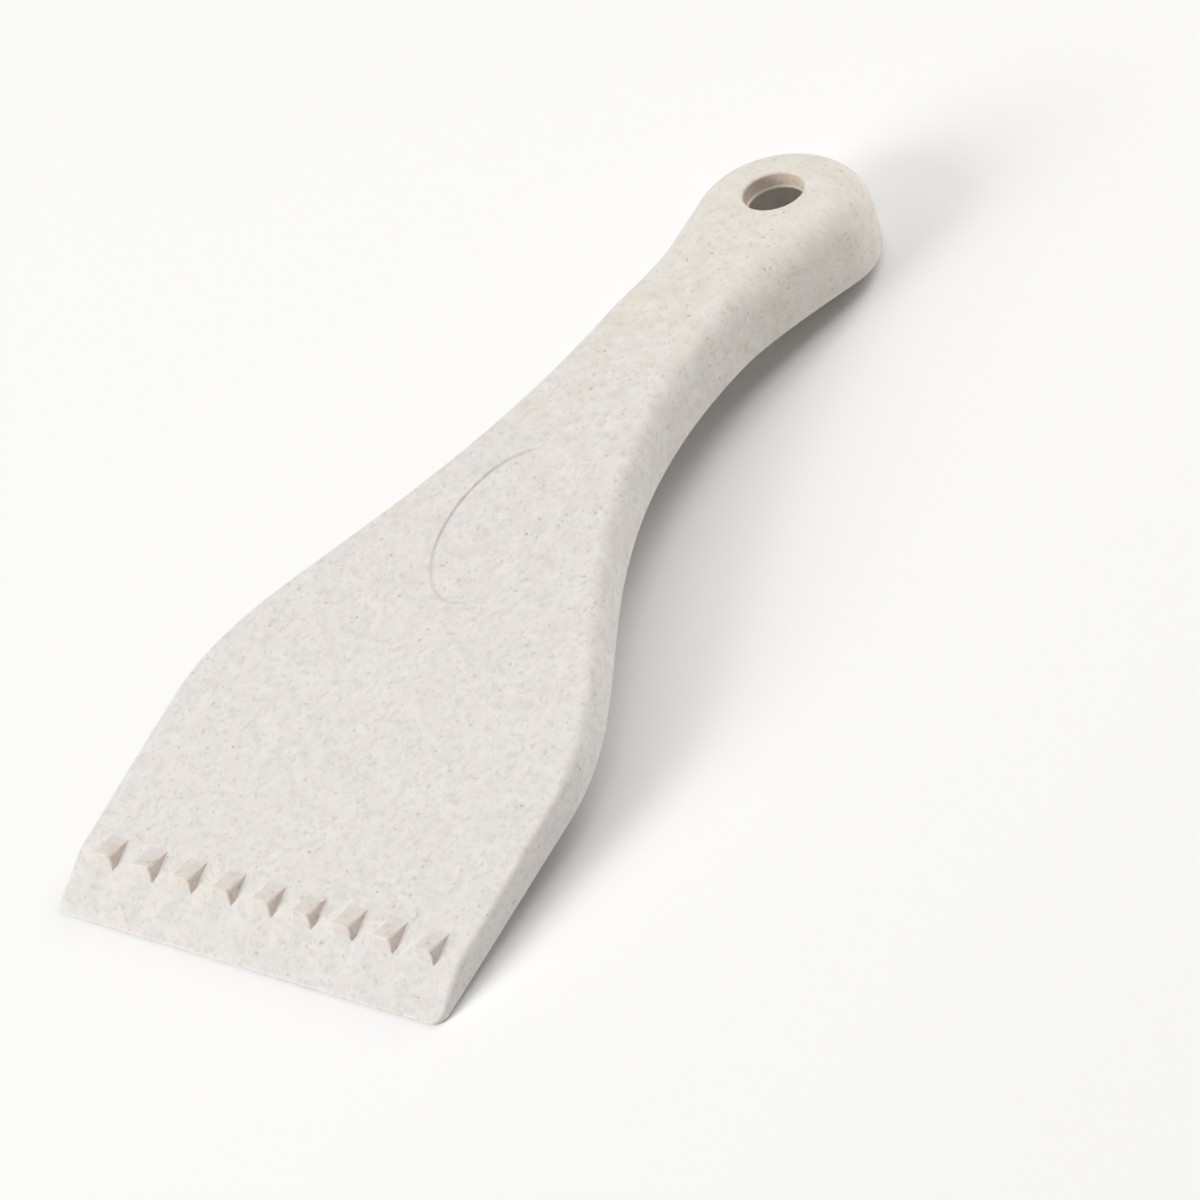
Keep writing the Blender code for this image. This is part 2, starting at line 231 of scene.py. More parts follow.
def fillet(s):
    """Rounding between the top and the side wall."""
    wanted = ramp(s, (
        (BLADE_FILLET_PLACE, BLADE_FILLET),
        (SHOULDER_FILLET_PLACE, SHOULDER_FILLET),
        (NECK_FILLET_PLACE, NECK_FILLET),
        (HANDLE_FILLET_PLACE, HANDLE_FILLET),
    ))
    wall = depth(s) - bevel_drop(s)
    return min(wanted, FILLET_WALL_SHARE * wall * (1.0 + wanted / HANDLE_FILLET))


def rim_rounding(s):
    """Rounding of the outer rim, softer under the handle."""
    return ramp(s, (
        (RIM_ROUNDING_START, BLADE_RIM_ROUNDING),
        (RIM_ROUNDING_END, HANDLE_RIM_ROUNDING),
    ))


def bend(x, s, d):
    """A point of the unrolled form, bent down along the handle."""
    turn = max(0.0, s - STRAIGHT_LENGTH) / BEND_RADIUS
    y = min(s, STRAIGHT_LENGTH) + (BEND_RADIUS - d) * math.sin(turn)
    z = -BEND_RADIUS + (BEND_RADIUS - d) * math.cos(turn)
    return Vector((x, y, z))


def lay_down_angle():
    """Turn about X that puts the front edge and the handle's rim on one level."""
    front = bend(0.0, 0.0, depth(0.0))
    steepest = 0.0
    for step in range(1, PROFILE_STEPS + 1):
        s = plan_end() * step / PROFILE_STEPS
        low = bend(0.0, s, depth(s))
        steepest = max(steepest, math.atan2(front.z - low.z, low.y - front.y))
    return steepest


LAY_DOWN = lay_down_angle()


def place(x, s, d):
    """A point of the unrolled form, bent and laid down as the scraper rests."""
    p = bend(x, s, d)
    cosine, sine = math.cos(LAY_DOWN), math.sin(LAY_DOWN)
    return Vector((p.x, cosine * p.y - sine * p.z, sine * p.y + cosine * p.z))


def top_normal(s):
    """Outward normal of the unbevelled top at s."""
    return place(0.0, s, -1.0) - place(0.0, s, 0.0)


def stops(count, lead):
    """Even stops from 0 to 1: lead 1 ends on 1, and a lead under 1 misses both ends."""
    return [(number + lead) / count for number in range(count)]


def bezier(p0, p1, p2, p3, at):
    """Points at the given stops of a cubic curve, each with its outward normal."""
    points = []
    for t in at:
        u = 1.0 - t
        x, s = (u ** 3 * a + 3.0 * u * u * t * b + 3.0 * u * t * t * c + t ** 3 * e
                for a, b, c, e in zip(p0, p1, p2, p3))
        dx, ds = (u * u * (b - a) + 2.0 * u * t * (c - b) + t * t * (e - c)
                  for a, b, c, e in zip(p0, p1, p2, p3))
        size = math.hypot(dx, ds)
        points.append((x, s, ds / size, -dx / size))
    return points


def handle_end(half, angle):
    """Point and outward normal of the handle's round end; angle 0 is its widest place."""
    cosine, sine = math.cos(angle), math.sin(angle)
    size = math.hypot(HANDLE_END_RADIUS * cosine, half * sine)
    return (half * cosine, HOLE_PLACE + HANDLE_END_RADIUS * sine,
            HANDLE_END_RADIUS * cosine / size, half * sine / size)


def side_curves(shoulder, flare, end):
    """Points behind the blade's straight side, at the stops of each of the three curves."""
    wide = BLADE_WIDTH / 2.0
    neck = NECK_WIDTH / 2.0
    handle = HANDLE_WIDTH / 2.0
    points = bezier((wide, BLADE_SIDE_END), (wide, BLADE_SIDE_END + SHOULDER_REACH),
                    (neck, NECK_PLACE - NECK_REACH), (neck, NECK_PLACE), shoulder)
    x, s, nx, ns = handle_end(handle, -FLARE_END_ANGLE)
    points += bezier((neck, NECK_PLACE), (neck, NECK_PLACE + FLARE_START_REACH),
                     (x + FLARE_END_REACH * ns, s - FLARE_END_REACH * nx), (x, s), flare)
    for share in end + [1.0]:
        points.append(handle_end(handle, share * QUARTER_TURN - (1.0 - share) * FLARE_END_ANGLE))
    return points


def half_outline(start, corner, inset, side_stops, curve_stops):
    """Right half of the plan from the front to the handle's end, moved in by inset.

    Each point is (x, s, normal x, normal s); curve_stops are those of the three curves.
    """
    half = BLADE_WIDTH / 2.0 - inset
    points = []
    for step in range(CORNER_STEPS + 1):
        angle = QUARTER_TURN * step / CORNER_STEPS
        nx, ns = math.sin(angle), -math.cos(angle)
        points.append((half - corner + corner * nx, start + corner + corner * ns, nx, ns))
    points += [(half, s, 1.0, 0.0) for s in side_stops]
    points += [(x - inset * nx, s - inset * ns, nx, ns)
               for x, s, nx, ns in side_curves(*curve_stops)]
    points[-1] = (0.0, points[-1][1], 0.0, 1.0)
    return points


def both_halves(half):
    """A closed outline: the right half, then its mirror image back to the front."""
    return half + [(-x, s, -nx, ns) for x, s, nx, ns in reversed(half[:-1])]


def add_mesh(name, bm):
    """Links a finished mesh to the scene as one object."""
    bmesh.ops.recalc_face_normals(bm, faces=bm.faces)
    mesh = bpy.data.meshes.new(name)
    bm.to_mesh(mesh)
    bm.free()
    thing = bpy.data.objects.new(name, mesh)
    bpy.context.scene.collection.objects.link(thing)
    return thing


def join_rings(bm, near, far):
    """A band of faces between two closed rings of vertices."""
    for i in range(len(near)):
        j = (i + 1) % len(near)
        bm.faces.new((near[i], near[j], far[j], far[i]))


def close_tube(bm, rings):
    """Faces of a closed solid: a band from ring to ring, and one face over each end."""
    for near, far in zip(rings, rings[1:]):
        join_rings(bm, near, far)
    bm.faces.new(rings[0])
    bm.faces.new(reversed(rings[-1]))


def tooth_height(s):
    """Height of a tooth's ridge over the surface under it."""
    rise = TOOTH_HEIGHT / (TOOTH_HEEL_PLACE - TOOTH_PEAK_PLACE)
    back = rise * (TOOTH_HEEL_PLACE - s)
    toe = -bevel_drop(TOOTH_TOE_PLACE)
    steep = (TOOTH_HEIGHT - toe) / (TOOTH_PEAK_PLACE - TOOTH_TOE_PLACE)
    front = toe + steep * (s - TOOTH_TOE_PLACE)
    ridge = -soft_max(-back, -front, TOOTH_PEAK_BLEND)
    return soft_max(ridge + bevel_drop(s), 0.0, TOOTH_HEEL_BLEND)


def tooth_section(height):
    """Right half of a tooth of that height, from the ridge out.

    Each point is (offset from its middle, height).
    """
    full = max(height, TOOTH_LEAST_HEIGHT)
    radius = min(TOOTH_EDGE_ROUNDING, full * TOOTH_ROUNDING_SHARE)
    turn = QUARTER_TURN - TOOTH_DRAFT
    start = TOOTH_WIDTH / 2.0 - radius * math.tan(turn / 2.0)
    points = []
    for step in range(TOOTH_EDGE_STEPS + 1):
        angle = turn * step / TOOTH_EDGE_STEPS
        points.append((start + radius * math.sin(angle), full - radius * (1.0 - math.cos(angle))))
    points.append((TOOTH_WIDTH / 2.0 + full * math.tan(TOOTH_DRAFT), 0.0))
    return [(offset, up * height / full) for offset, up in points]


def on_tooth_row(s):
    """Whether s is among the teeth, where the top's mesh is fine across."""
    return TOOTH_ROWS[0] <= s <= TOOTH_ROWS[-1]


def columns(inner_half):
    """Columns of the top's mesh from left to right, as (place, side, step).

    Columns of side 0 run everywhere, and their place is a share of the half width. The
    others run only through the teeth: place is the middle of their tooth, and step counts
    from its ridge to its foot.
    """
    pace = TOOTH_PITCH / COARSE_PER_PITCH
    found = {-inner_half: (-1.0, 0, 0), inner_half: (1.0, 0, 0)}
    number = int(inner_half / pace)
    for k in range(-number, number + 1):
        found[k * pace] = (k * pace / inner_half, 0, 0)
    for tooth in range(TOOTH_COUNT):
        middle = TOOTH_PITCH * (tooth - (TOOTH_COUNT - 1) / 2.0)
        for step, (offset, _) in enumerate(tooth_section(TOOTH_HEIGHT)):
            for side in (-1, 1):
                found[middle + side * offset] = (middle, side, step)
    return [found[at] for at in sorted(found)]


def top_point(column, half, s):
    """Point of the top's mesh in a column, where the top is 2 * half wide."""
    at, side, step = column
    ridge = tooth_height(s) if on_tooth_row(s) else 0.0
    if side == 0:
        x = at * half
        number = round(x / TOOTH_PITCH)
        near_middle = abs(x - number * TOOTH_PITCH) < RIDGE_REACH
        on_ridge = abs(number) <= (TOOTH_COUNT - 1) // 2 and near_middle
        return place(x, s, bevel_drop(s) - (ridge if on_ridge else 0.0))
    offset, up = tooth_section(ridge)[step]
    return place(at + side * offset, s, bevel_drop(s) - up)


def outer_rings():
    """Rings from the top's inner edge over the rounding and down to the rim.

    Each is a function that gives (inset, d) for a point of the outline.
    """
    def over(angle):
        def ring(s, ns):
            r = fillet(s)
            inset = r * (1.0 - math.cos(angle))
            return inset, bevel_drop(s - inset * ns) + r * (1.0 - math.sin(angle))
        return ring

    def under(angle):
        def ring(s, ns):
            r = rim_rounding(s)
            inset = r * (1.0 - math.cos(angle))
            return inset, depth(s - inset * ns) - r * (1.0 - math.sin(angle))
        return ring

    return ([over(QUARTER_TURN * (FILLET_STEPS - step) / FILLET_STEPS)
             for step in range(FILLET_STEPS + 1)]
            + [under(QUARTER_TURN * step / RIM_STEPS) for step in range(RIM_STEPS + 1)])


def top_rows(bm, half, inner_ring, cols):
    """Vertices of the top, row by row from the front edge to the handle's last point.

    Each row is (fine, {column number: vertex}).
    """
    rows = []
    for x, s, nx, ns in half:
        inset = inner_ring(s, ns)[0]
        reach, at = x - inset * nx, s - inset * ns
        fine = on_tooth_row(s)
        if x == 0.0:
            found = {0: bm.verts.new(place(0.0, at, bevel_drop(at)))}
        else:
            found = {index: bm.verts.new(top_point(column, reach, at))
                     for index, column in enumerate(cols) if fine or column[1] == 0}
        rows.append((fine, found))
    return rows


def fill_top(bm, rows, coarse):
    """Faces of the top; coarse holds the numbers of the columns that run everywhere."""
    for (fine, near), (next_fine, far) in zip(rows, rows[1:]):
        if len(far) == 1:
            for i, j in zip(coarse, coarse[1:]):
                bm.faces.new((near[i], near[j], far[0]))
        elif fine == next_fine:
            keys = sorted(near)
            for i, j in zip(keys, keys[1:]):
                bm.faces.new((near[i], near[j], far[j], far[i]))
        else:
            for i, j in zip(coarse, coarse[1:]):
                low = [near[k] for k in range(i, j + 1) if k in near]
                high = [far[k] for k in range(j, i - 1, -1) if k in far]
                bm.faces.new(low + high)


def fill_underside(bm, rim, count):
    """Faces of the underside, in strips across; the rim's first count points are its right."""
    rights = rim[:count]
    lefts = [rim[2 * (count - 1) - i] for i in range(count - 1)]
    front = rim[2 * count - 1:]
    bm.faces.new([lefts[0]] + front + [rights[0], rights[1], lefts[1]])
    for i in range(1, count - 2):
        bm.faces.new((lefts[i], rights[i], rights[i + 1], lefts[i + 1]))
    bm.faces.new((lefts[-1], rights[-2], rights[-1]))


def outer_form():
    """The scraper's outside with its teeth, still solid."""
    curves = (stops(SHOULDER_STEPS, 1.0), stops(FLARE_STEPS, 1.0), stops(END_STEPS, 1.0)[:-1])
    half = half_outline(0.0, CORNER_RADIUS, 0.0, FRONT_ROWS + TOOTH_ROWS + BLADE_ROWS, curves)
    rings = outer_rings()
    cols = columns(BLADE_WIDTH / 2.0 - fillet(TOOTH_ROWS[0]))
    coarse = [index for index, column in enumerate(cols) if column[1] == 0]
    bm = bmesh.new()
    rows = top_rows(bm, half, rings[0], cols)
    fill_top(bm, rows, coarse)

    # the outline and the top's border, up the right, down the left and back along the front
    inner, last = coarse[1:-1], len(cols) - 1
    border = [row[last] for _, row in rows[:-1]] + [rows[-1][1][0]]
    border += [row[0] for _, row in reversed(rows[:-1])]
    border += [rows[0][1][k] for k in inner]
    outline = both_halves(half)
    outline += [(cols[k][0] * half[0][0], half[0][1], 0.0, -1.0) for k in inner]

    # the rounding, wall and rim, ring by ring from the top's border
    previous = border
    for ring in rings[1:]:
        current = []
        for x, s, nx, ns in outline:
            inset, d = ring(s, ns)
            current.append(bm.verts.new(place(x - inset * nx, s - inset * ns, d)))
        join_rings(bm, previous, current)
        previous = current
    fill_underside(bm, previous, len(half))
    return add_mesh("scraper", bm)


def hollow_form():
    """The space inside the walls, run out past the rim."""
    side = [BLADE_SIDE_END * share for share in HOLLOW_SIDE_SHARES]
    curves = [stops(count, HALF_STEP)
              for count in (HOLLOW_SHOULDER_STEPS, HOLLOW_FLARE_STEPS, HOLLOW_END_STEPS)]
    half = half_outline(HOLLOW_START, HOLLOW_CORNER, SIDE_WALL, side, curves)
    outline = both_halves(half)
    bm = bmesh.new()
    rows = []
    for step in range(INNER_FILLET_STEPS + 2):
        angle = QUARTER_TURN * (INNER_FILLET_STEPS - step) / INNER_FILLET_STEPS
        row = []
        for x, s, nx, ns in outline:
            inset, d = 0.0, depth(s) + OVERRUN
            if step <= INNER_FILLET_STEPS:
                r = max(INNER_FILLET, fillet(s) - SIDE_WALL)
                inset, d = r * (1.0 - math.cos(angle)), TOP_WALL + r * (1.0 - math.sin(angle))
            row.append(bm.verts.new(place(x - inset * nx, s - inset * ns, d)))
        rows.append(row)
    for upper, lower in zip(rows, rows[1:]):
        join_rings(bm, upper, lower)

    # both ends, in strips across
    count, last = len(outline), len(half) - 1
    for row in (rows[0], rows[-1]):
        for i in range(last - 1):
            bm.faces.new((row[i], row[i + 1], row[count - 2 - i], row[count - 1 - i]))
        bm.faces.new((row[last - 1], row[last], row[last + 1]))
    return add_mesh("hollow", bm)


def loft_blocks(name, blocks):
    """Separate closed blocks in one object; each is a list of four-cornered sections."""
    bm = bmesh.new()
    for sections in blocks:
        close_tube(bm, [[bm.verts.new(place(*corner)) for corner in section]
                        for section in sections])
    return add_mesh(name, bm)


def long_rib(middle, end):
    """Sections of one rib that runs along the scraper."""
    start = HOLLOW_START - OVERRUN
    left, right = middle - RIB_THICKNESS / 2.0, middle + RIB_THICKNESS / 2.0
    top = TOP_WALL / 2.0
    sections = []
    for step in range(RIB_STEPS + 1):
        s = start + (end - start) * step / RIB_STEPS
        low = depth(s) - RIB_SETBACK
        sections.append(((left, s, top), (right, s, top), (right, s, low), (left, s, low)))
    return sections


def long_ribs():
    """Five ribs along the scraper: one in the middle and two on each side."""
    blocks = [long_rib(0.0, CENTRE_RIB_END)]
    for side in (-1.0, 1.0):
        blocks.append(long_rib(side * LONG_RIB_SPACING, SIDE_RIB_END))
        blocks.append(long_rib(side * LONG_RIB_SPACING * 2.0, SIDE_RIB_END))
    return loft_blocks("long_ribs", blocks)


def cross_ribs():
    """Ribs across the scraper at an even pitch; the last stands before the hang hole."""
    reach = BLADE_WIDTH / 2.0
    top = TOP_WALL / 2.0
    blocks = []
    for number in range(CROSS_RIB_COUNT):
        middle = FIRST_CROSS_RIB + number * CROSS_RIB_PITCH
        front, back = middle - RIB_THICKNESS / 2.0, middle + RIB_THICKNESS / 2.0
        low = depth(middle) - RIB_SETBACK
        blocks.append([((x, front, top), (x, back, top), (x, back, low), (x, front, low))
                       for x in (-reach, 0.0, reach)])
    return loft_blocks("cross_ribs", blocks)


def spun_form(name, middle, profile, steps, stretch):
    """Closed solid turned from (radius, d) points about the normal at middle, stretched along."""
    bm = bmesh.new()
    rings = []
    for radius, down in profile:
        ring = []
        for step in range(steps):
            angle = 2.0 * math.pi * (step + HALF_STEP) / steps
            across, along = radius * math.cos(angle), stretch * radius * math.sin(angle)
            ring.append(bm.verts.new(place(across, middle + along, down)))
        rings.append(ring)
    close_tube(bm, rings)
    return add_mesh(name, bm)


def hang_hole():
    """Cutter for the hang hole: a rounded upper rim, and a thin lip at its wall's lower end."""
    wide = HOLE_RADIUS + HOLE_RIM_ROUNDING
    profile = [(wide + OVERRUN, -OVERRUN)]
    for step in range(RIM_ROUNDING_STEPS + 1):
        rest = (1.0 - HOLE_RIM_START_SHARE) * step / RIM_ROUNDING_STEPS
        angle = QUARTER_TURN * (HOLE_RIM_START_SHARE + rest)
        profile.append((wide - HOLE_RIM_ROUNDING * math.sin(angle),
                        HOLE_RIM_ROUNDING * (1.0 - math.cos(angle))))
    for step in range(LIP_STEPS + 1):
        angle = QUARTER_TURN * step / LIP_STEPS
        profile.append((HOLE_RADIUS - HOLE_LIP * (1.0 - math.cos(angle)),
                        TOP_WALL - HOLE_LIP * (2.0 - math.sin(angle))))
    profile.append((HOLE_RADIUS - HOLE_LIP, TOP_WALL + OVERRUN))
    return spun_form("hang_hole", HOLE_PLACE, profile, HOLE_STEPS, 1.0)


def thumb_rest():
    """Cutter for the oval dish: an eased step all round, then a shallow bowl."""
    half = THUMB_REST_WIDTH / 2.0
    profile = [(half + OVERRUN, -OVERRUN * THUMB_REST_EDGE_SLOPE)]
    for step in range(DISH_EDGE_STEPS + 1):
        share = step / DISH_EDGE_STEPS
        eased = (1.0 - math.cos(math.pi * share)) / 2.0
        lead = THUMB_REST_EDGE_SLOPE * share * (1.0 - share) ** 2
        profile.append((half - THUMB_REST_EDGE * share,
                        THUMB_REST_STEP * eased + THUMB_REST_EDGE * lead))
    floor_half = profile[-1][0]
    for step in range(1, DISH_RINGS):
        share = 1.0 - step / DISH_RINGS
        bowl = (THUMB_REST_DEPTH - THUMB_REST_STEP) * (1.0 - share * share)
        profile.append((floor_half * share, THUMB_REST_STEP + bowl))
    stretch = THUMB_REST_LENGTH / THUMB_REST_WIDTH
    return spun_form("thumb_rest", THUMB_REST_PLACE, profile, DISH_STEPS, stretch)


def cut(body, tool):
    """Takes the tool's form out of the body, once the body's modifiers are settled."""
    step = body.modifiers.new(tool.name, "BOOLEAN")
    step.operation = "DIFFERENCE"
    step.solver = "EXACT"
    step.object = tool


def settle(thing):
    """Turns the object's modifiers into plain mesh."""
    view = bpy.context.evaluated_depsgraph_get()
    mesh = bpy.data.meshes.new_from_object(thing.evaluated_get(view))
    thing.modifiers.clear()
    thing.data = mesh


# How much painted shade, a brown tint, the teeth's ridges and fronts get as a share of their side
# walls, and the height over the blade at which they get that share
TOOTH_FACE_SHADE_SHARE = 0.35
TOOTH_FULL_SHADE_HEIGHT = 0.0005


def mark_painted_shade(mesh):
    """Writes on each face its share of painted shade, a brown tint: on the teeth and in the hang
    hole.
    """
    edge, tooth_up = place(0.0, 0.0, 0.0), top_normal(TOOTH_PEAK_PLACE)
    tooth_along = (place(0.0, TOOTH_PEAK_PLACE, 0.0) - edge).normalized()
    toe, heel = place(0.0, TOOTH_ROWS[0], 0.0).y, place(0.0, TOOTH_ROWS[-1], 0.0).y
    teeth_half = TOOTH_COUNT * TOOTH_PITCH / 2.0
    hole, hole_up = place(0.0, HOLE_PLACE, 0.0), top_normal(HOLE_PLACE)
    hole_reach = HOLE_RADIUS + HOLE_RIM_ROUNDING
    shares = []
    for face in mesh.polygons:
        middle, normal = face.center, face.normal
        among_teeth = toe < middle.y < heel and abs(middle.x) < teeth_half
        across = middle - hole
        down = -across.dot(hole_up)
        across += hole_up * down
        share = 0.0
        if among_teeth and normal.dot(tooth_up) > 0.0:
            # painted shade: tooth side walls by how far they face sideways, ridges and fronts by
            # a share
            from_edge = middle - edge
            raised = from_edge.dot(tooth_up) + bevel_drop(from_edge.dot(tooth_along))
            marked = min(1.0, raised / TOOTH_FULL_SHADE_HEIGHT)
            share = max(abs(normal.x), TOOTH_FACE_SHADE_SHARE * marked)
        elif across.length < hole_reach and down < TOP_WALL:
            # painted shade: the hang hole's wall in full, its rounded upper rim less where it
            # faces up
            share = 1.0
            if down <= HOLE_RIM_ROUNDING:
                share = 1.0 - max(0.0, normal.dot(hole_up))
        shares.append(share)
    mesh.attributes.new("painted_shade", "FLOAT", "FACE").data.foreach_set("value", shares)


def fit_in(mesh, low, high):
    """Lays the mesh in the CAD box, a hair smaller where its finer form stands out of it."""
    lows = [min(v.co[axis] for v in mesh.vertices) for axis in range(3)]
    highs = [max(v.co[axis] for v in mesh.vertices) for axis in range(3)]
    factors = [min(1.0, FIT_SHARE * (high[axis] - low[axis]) / (highs[axis] - lows[axis]))
               for axis in range(3)]
    shift = Vector(((low.x + high.x - factors[0] * (lows[0] + highs[0])) / 2.0,
                    (low.y + high.y - factors[1] * (lows[1] + highs[1])) / 2.0,
                    low.z - factors[2] * lows[2]))
    mesh.transform(Matrix.Translation(shift) @ Matrix.Diagonal(factors + [1.0]))


def scraper():
    """The scraper's finished mesh, on the CAD node's place."""
    body = outer_form()
    hollow = hollow_form()
    ribs = [long_ribs(), cross_ribs()]
    openings = [hollow, hang_hole(), thumb_rest()]
    for rib in ribs:
        cut(hollow, rib)
    for opening in openings:
        cut(body, opening)
    bpy.context.view_layer.update()
    settle(body)
    for tool in ribs + openings:
        bpy.data.objects.remove(tool, do_unlink=True)
    # painted shade: a brown tint written on the teeth and in the hang hole
    mark_painted_shade(body.data)
    low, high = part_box("scraper_body")
    fit_in(body.data, low, high)
    for polygon in body.data.polygons:
        polygon.use_smooth = True
    body.data.set_sharp_from_angle(angle=SHARP_ANGLE)
    even = body.modifiers.new("even_shading", "WEIGHTED_NORMAL")
    even.keep_sharp = True
    return body


class Nodes:
    """Short calls for building one material's node tree."""

    def __init__(self, name):
        self.material = bpy.data.materials.new(name)
        self.material.use_nodes = True
        self.tree = self.material.node_tree
        self.shader = self.tree.nodes["Principled BSDF"]

    def add(self, kind, **settings):
        """Adds a node; settings are its own properties."""
        made = self.tree.nodes.new(kind)
        for key, value in settings.items():
            setattr(made, key, value)
        return made

    def join(self, source, target):
        """Links an output socket to an input socket."""
        self.tree.links.new(source, target)

    def fill(self, socket, value):
        """Feeds an input socket from another socket, or sets it to a fixed value."""
        if isinstance(value, (int, float, tuple)):
            socket.default_value = value
        else:
            self.join(value, socket)

    def surface(self, colour, settings):
        """Feeds the shader's colour, and sets its other inputs to fixed values."""
        self.join(colour, self.shader.inputs["Base Color"])
        for key, value in settings:
            self.shader.inputs[key].default_value = value

    def number(self, operation, first, second):
        """A Math node; either side is a socket or a number."""
        made = self.add("ShaderNodeMath", operation=operation)
        for socket, value in zip(made.inputs, (first, second)):
            self.fill(socket, value)
        return made.outputs[0]

    def spread(self, value, low, high, to_low, to_high, smooth=True):
        """A Map Range node."""
        made = self.add("ShaderNodeMapRange",
                        interpolation_type="SMOOTHSTEP" if smooth else "LINEAR")
        self.join(value, made.inputs["Value"])
        for key, amount in (("From Min", low), ("From Max", high),
                            ("To Min", to_low), ("To Max", to_high)):
            made.inputs[key].default_value = amount
        return made.outputs["Result"]

    def mix(self, factor, first, second, blend="MIX"):
        """A colour Mix node; each input is a socket or a fixed value."""
        made = self.add("ShaderNodeMix", data_type="RGBA", blend_type=blend)
        # its sockets for colours have these numbers
        for number, value in ((0, factor), (6, first), (7, second)):
            self.fill(made.inputs[number], value)
        return made.outputs[2]

    def noise(self, vector, scale, detail=2.0, roughness=0.5, output="Fac"):
        """A Noise texture's value, or its colour."""
        made = self.add("ShaderNodeTexNoise")
        self.join(vector, made.inputs["Vector"])
        made.inputs["Scale"].default_value = scale
        made.inputs["Detail"].default_value = detail
        made.inputs["Roughness"].default_value = roughness
        return made.outputs[output]

    def ramp(self, value, table):
        """A colour ramp over a table of (place, colour)."""
        made = self.add("ShaderNodeValToRGB")
        self.join(value, made.inputs["Fac"])
        elements = made.color_ramp.elements
        while len(elements) < len(table):
            elements.new(0.5)  # each gets its own place below
        for element, (position, colour) in zip(elements, table):
            element.position = position
            element.color = colour
        return made.outputs["Color"]


# Plain plastic, and soft patches in it. Each patch: noise scale, detail and roughness, the
# noise values where it starts and is full, its greatest strength, and its colour
BASE_COLOUR = (0.782, 0.755, 0.727, 1.0)
PALE_COLOUR = (0.820, 0.793, 0.766, 1.0)
SHADE_COLOUR = (0.690, 0.664, 0.634, 1.0)
STRAW_COLOUR = (0.785, 0.757, 0.703, 1.0)
BLUSH_COLOUR = (0.797, 0.752, 0.715, 1.0)
PATCHES = (
    (300.0, 3.0, 0.62, 0.36, 0.64, 1.0, PALE_COLOUR),
    (620.0, 2.0, 0.60, 0.42, 0.72, 0.7, SHADE_COLOUR),
    (210.0, 1.0, 0.50, 0.52, 0.72, 0.5, STRAW_COLOUR),
    (170.0, 1.0, 0.50, 0.50, 0.72, 0.5, BLUSH_COLOUR),
)

# Towards the handle the plastic is yellower, and paler and browner blotches come in. Starts
# and ends are places along Y; low and high are noise values
HANDLED_COLOUR = (0.855, 0.812, 0.722, 1.0)
HANDLED_STRENGTH = 0.5
HANDLED_START = 0.000
HANDLED_END = 0.090
PALE_BLOTCH = (1.012, 1.012, 1.012, 1.0)
BROWN_BLOTCH = (0.976, 0.964, 0.942, 1.0)
BLOTCH_SCALE = 240.0
BLOTCH_DETAIL = 2.0
BLOTCH_ROUGHNESS = 0.6
BLOTCH_LOW = 0.40
BLOTCH_HIGH = 0.62
BLOTCH_START = -0.065
BLOTCH_END = 0.005

# Straw fibres in the plastic. Each layer: turn in degrees, cell length and thickness in metres,
# fibre size in cells, softness of its edge, share of cells that hold one, and weakest and
# strongest tint
FIBRE_LAYERS = (
    ((10.0, 15.0, 12.0), 0.0036, 0.0013, 0.46, 0.85, 0.60, 0.02, 0.12),
    ((-12.0, 8.0, 131.0), 0.0032, 0.0012, 0.46, 0.85, 0.60, 0.02, 0.12),
    ((20.0, -18.0, 68.0), 0.0024, 0.0011, 0.42, 0.80, 0.50, 0.04, 0.20),
    ((8.0, 24.0, -42.0), 0.0021, 0.0010, 0.42, 0.80, 0.50, 0.04, 0.20),
    ((31.0, 15.0, 101.0), 0.0017, 0.0010, 0.42, 0.75, 0.40, 0.08, 0.34),
    ((-15.0, -28.0, -12.0), 0.0023, 0.0015, 0.32, 0.75, 0.16, 0.20, 0.60),
)
FIBRE_COLOURS = (
    (0.00, (0.350, 0.305, 0.255, 1.0)),
    (0.30, (0.460, 0.422, 0.372, 1.0)),
    (0.55, (0.375, 0.350, 0.322, 1.0)),
    (0.75, (0.500, 0.462, 0.405, 1.0)),
    (1.00, (0.470, 0.414, 0.372, 1.0)),
)
FIBRE_WIGGLE = 0.0007
FIBRE_WIGGLE_SCALE = 900.0
FIBRE_WIGGLE_DETAIL = 1.0

# The painted shade's brown tint, multiplied in where faces are marked with painted shade
PAINTED_SHADE_COLOUR = (0.930, 0.855, 0.800, 1.0)

# The plastic's surface, and the relief of its grain and fibres
PLASTIC_SURFACE = (
    ("Roughness", 0.55),
    ("Specular IOR Level", 0.4),
    ("Subsurface Weight", 0.45),
    ("Subsurface Radius", (1.0, 0.62, 0.36)),
    ("Subsurface Scale", 0.0012),
)
GRAIN_SCALE = 2600.0
GRAIN_DETAIL = 2.0
GRAIN_ROUGHNESS = 0.6
GRAIN_HEIGHT = 0.6
FIBRE_HEIGHT = 0.25
RELIEF_STRENGTH = 0.30
RELIEF_DISTANCE = 0.00005


def patchy_colour(n, where):
    """The plastic's own colour, with its soft patches."""
    colour = BASE_COLOUR
    for scale, detail, roughness, low, high, strength, tint in PATCHES:
        patch = n.noise(where, scale, detail, roughness)
        colour = n.mix(n.spread(patch, low, high, 0.0, strength), colour, tint)
    return colour


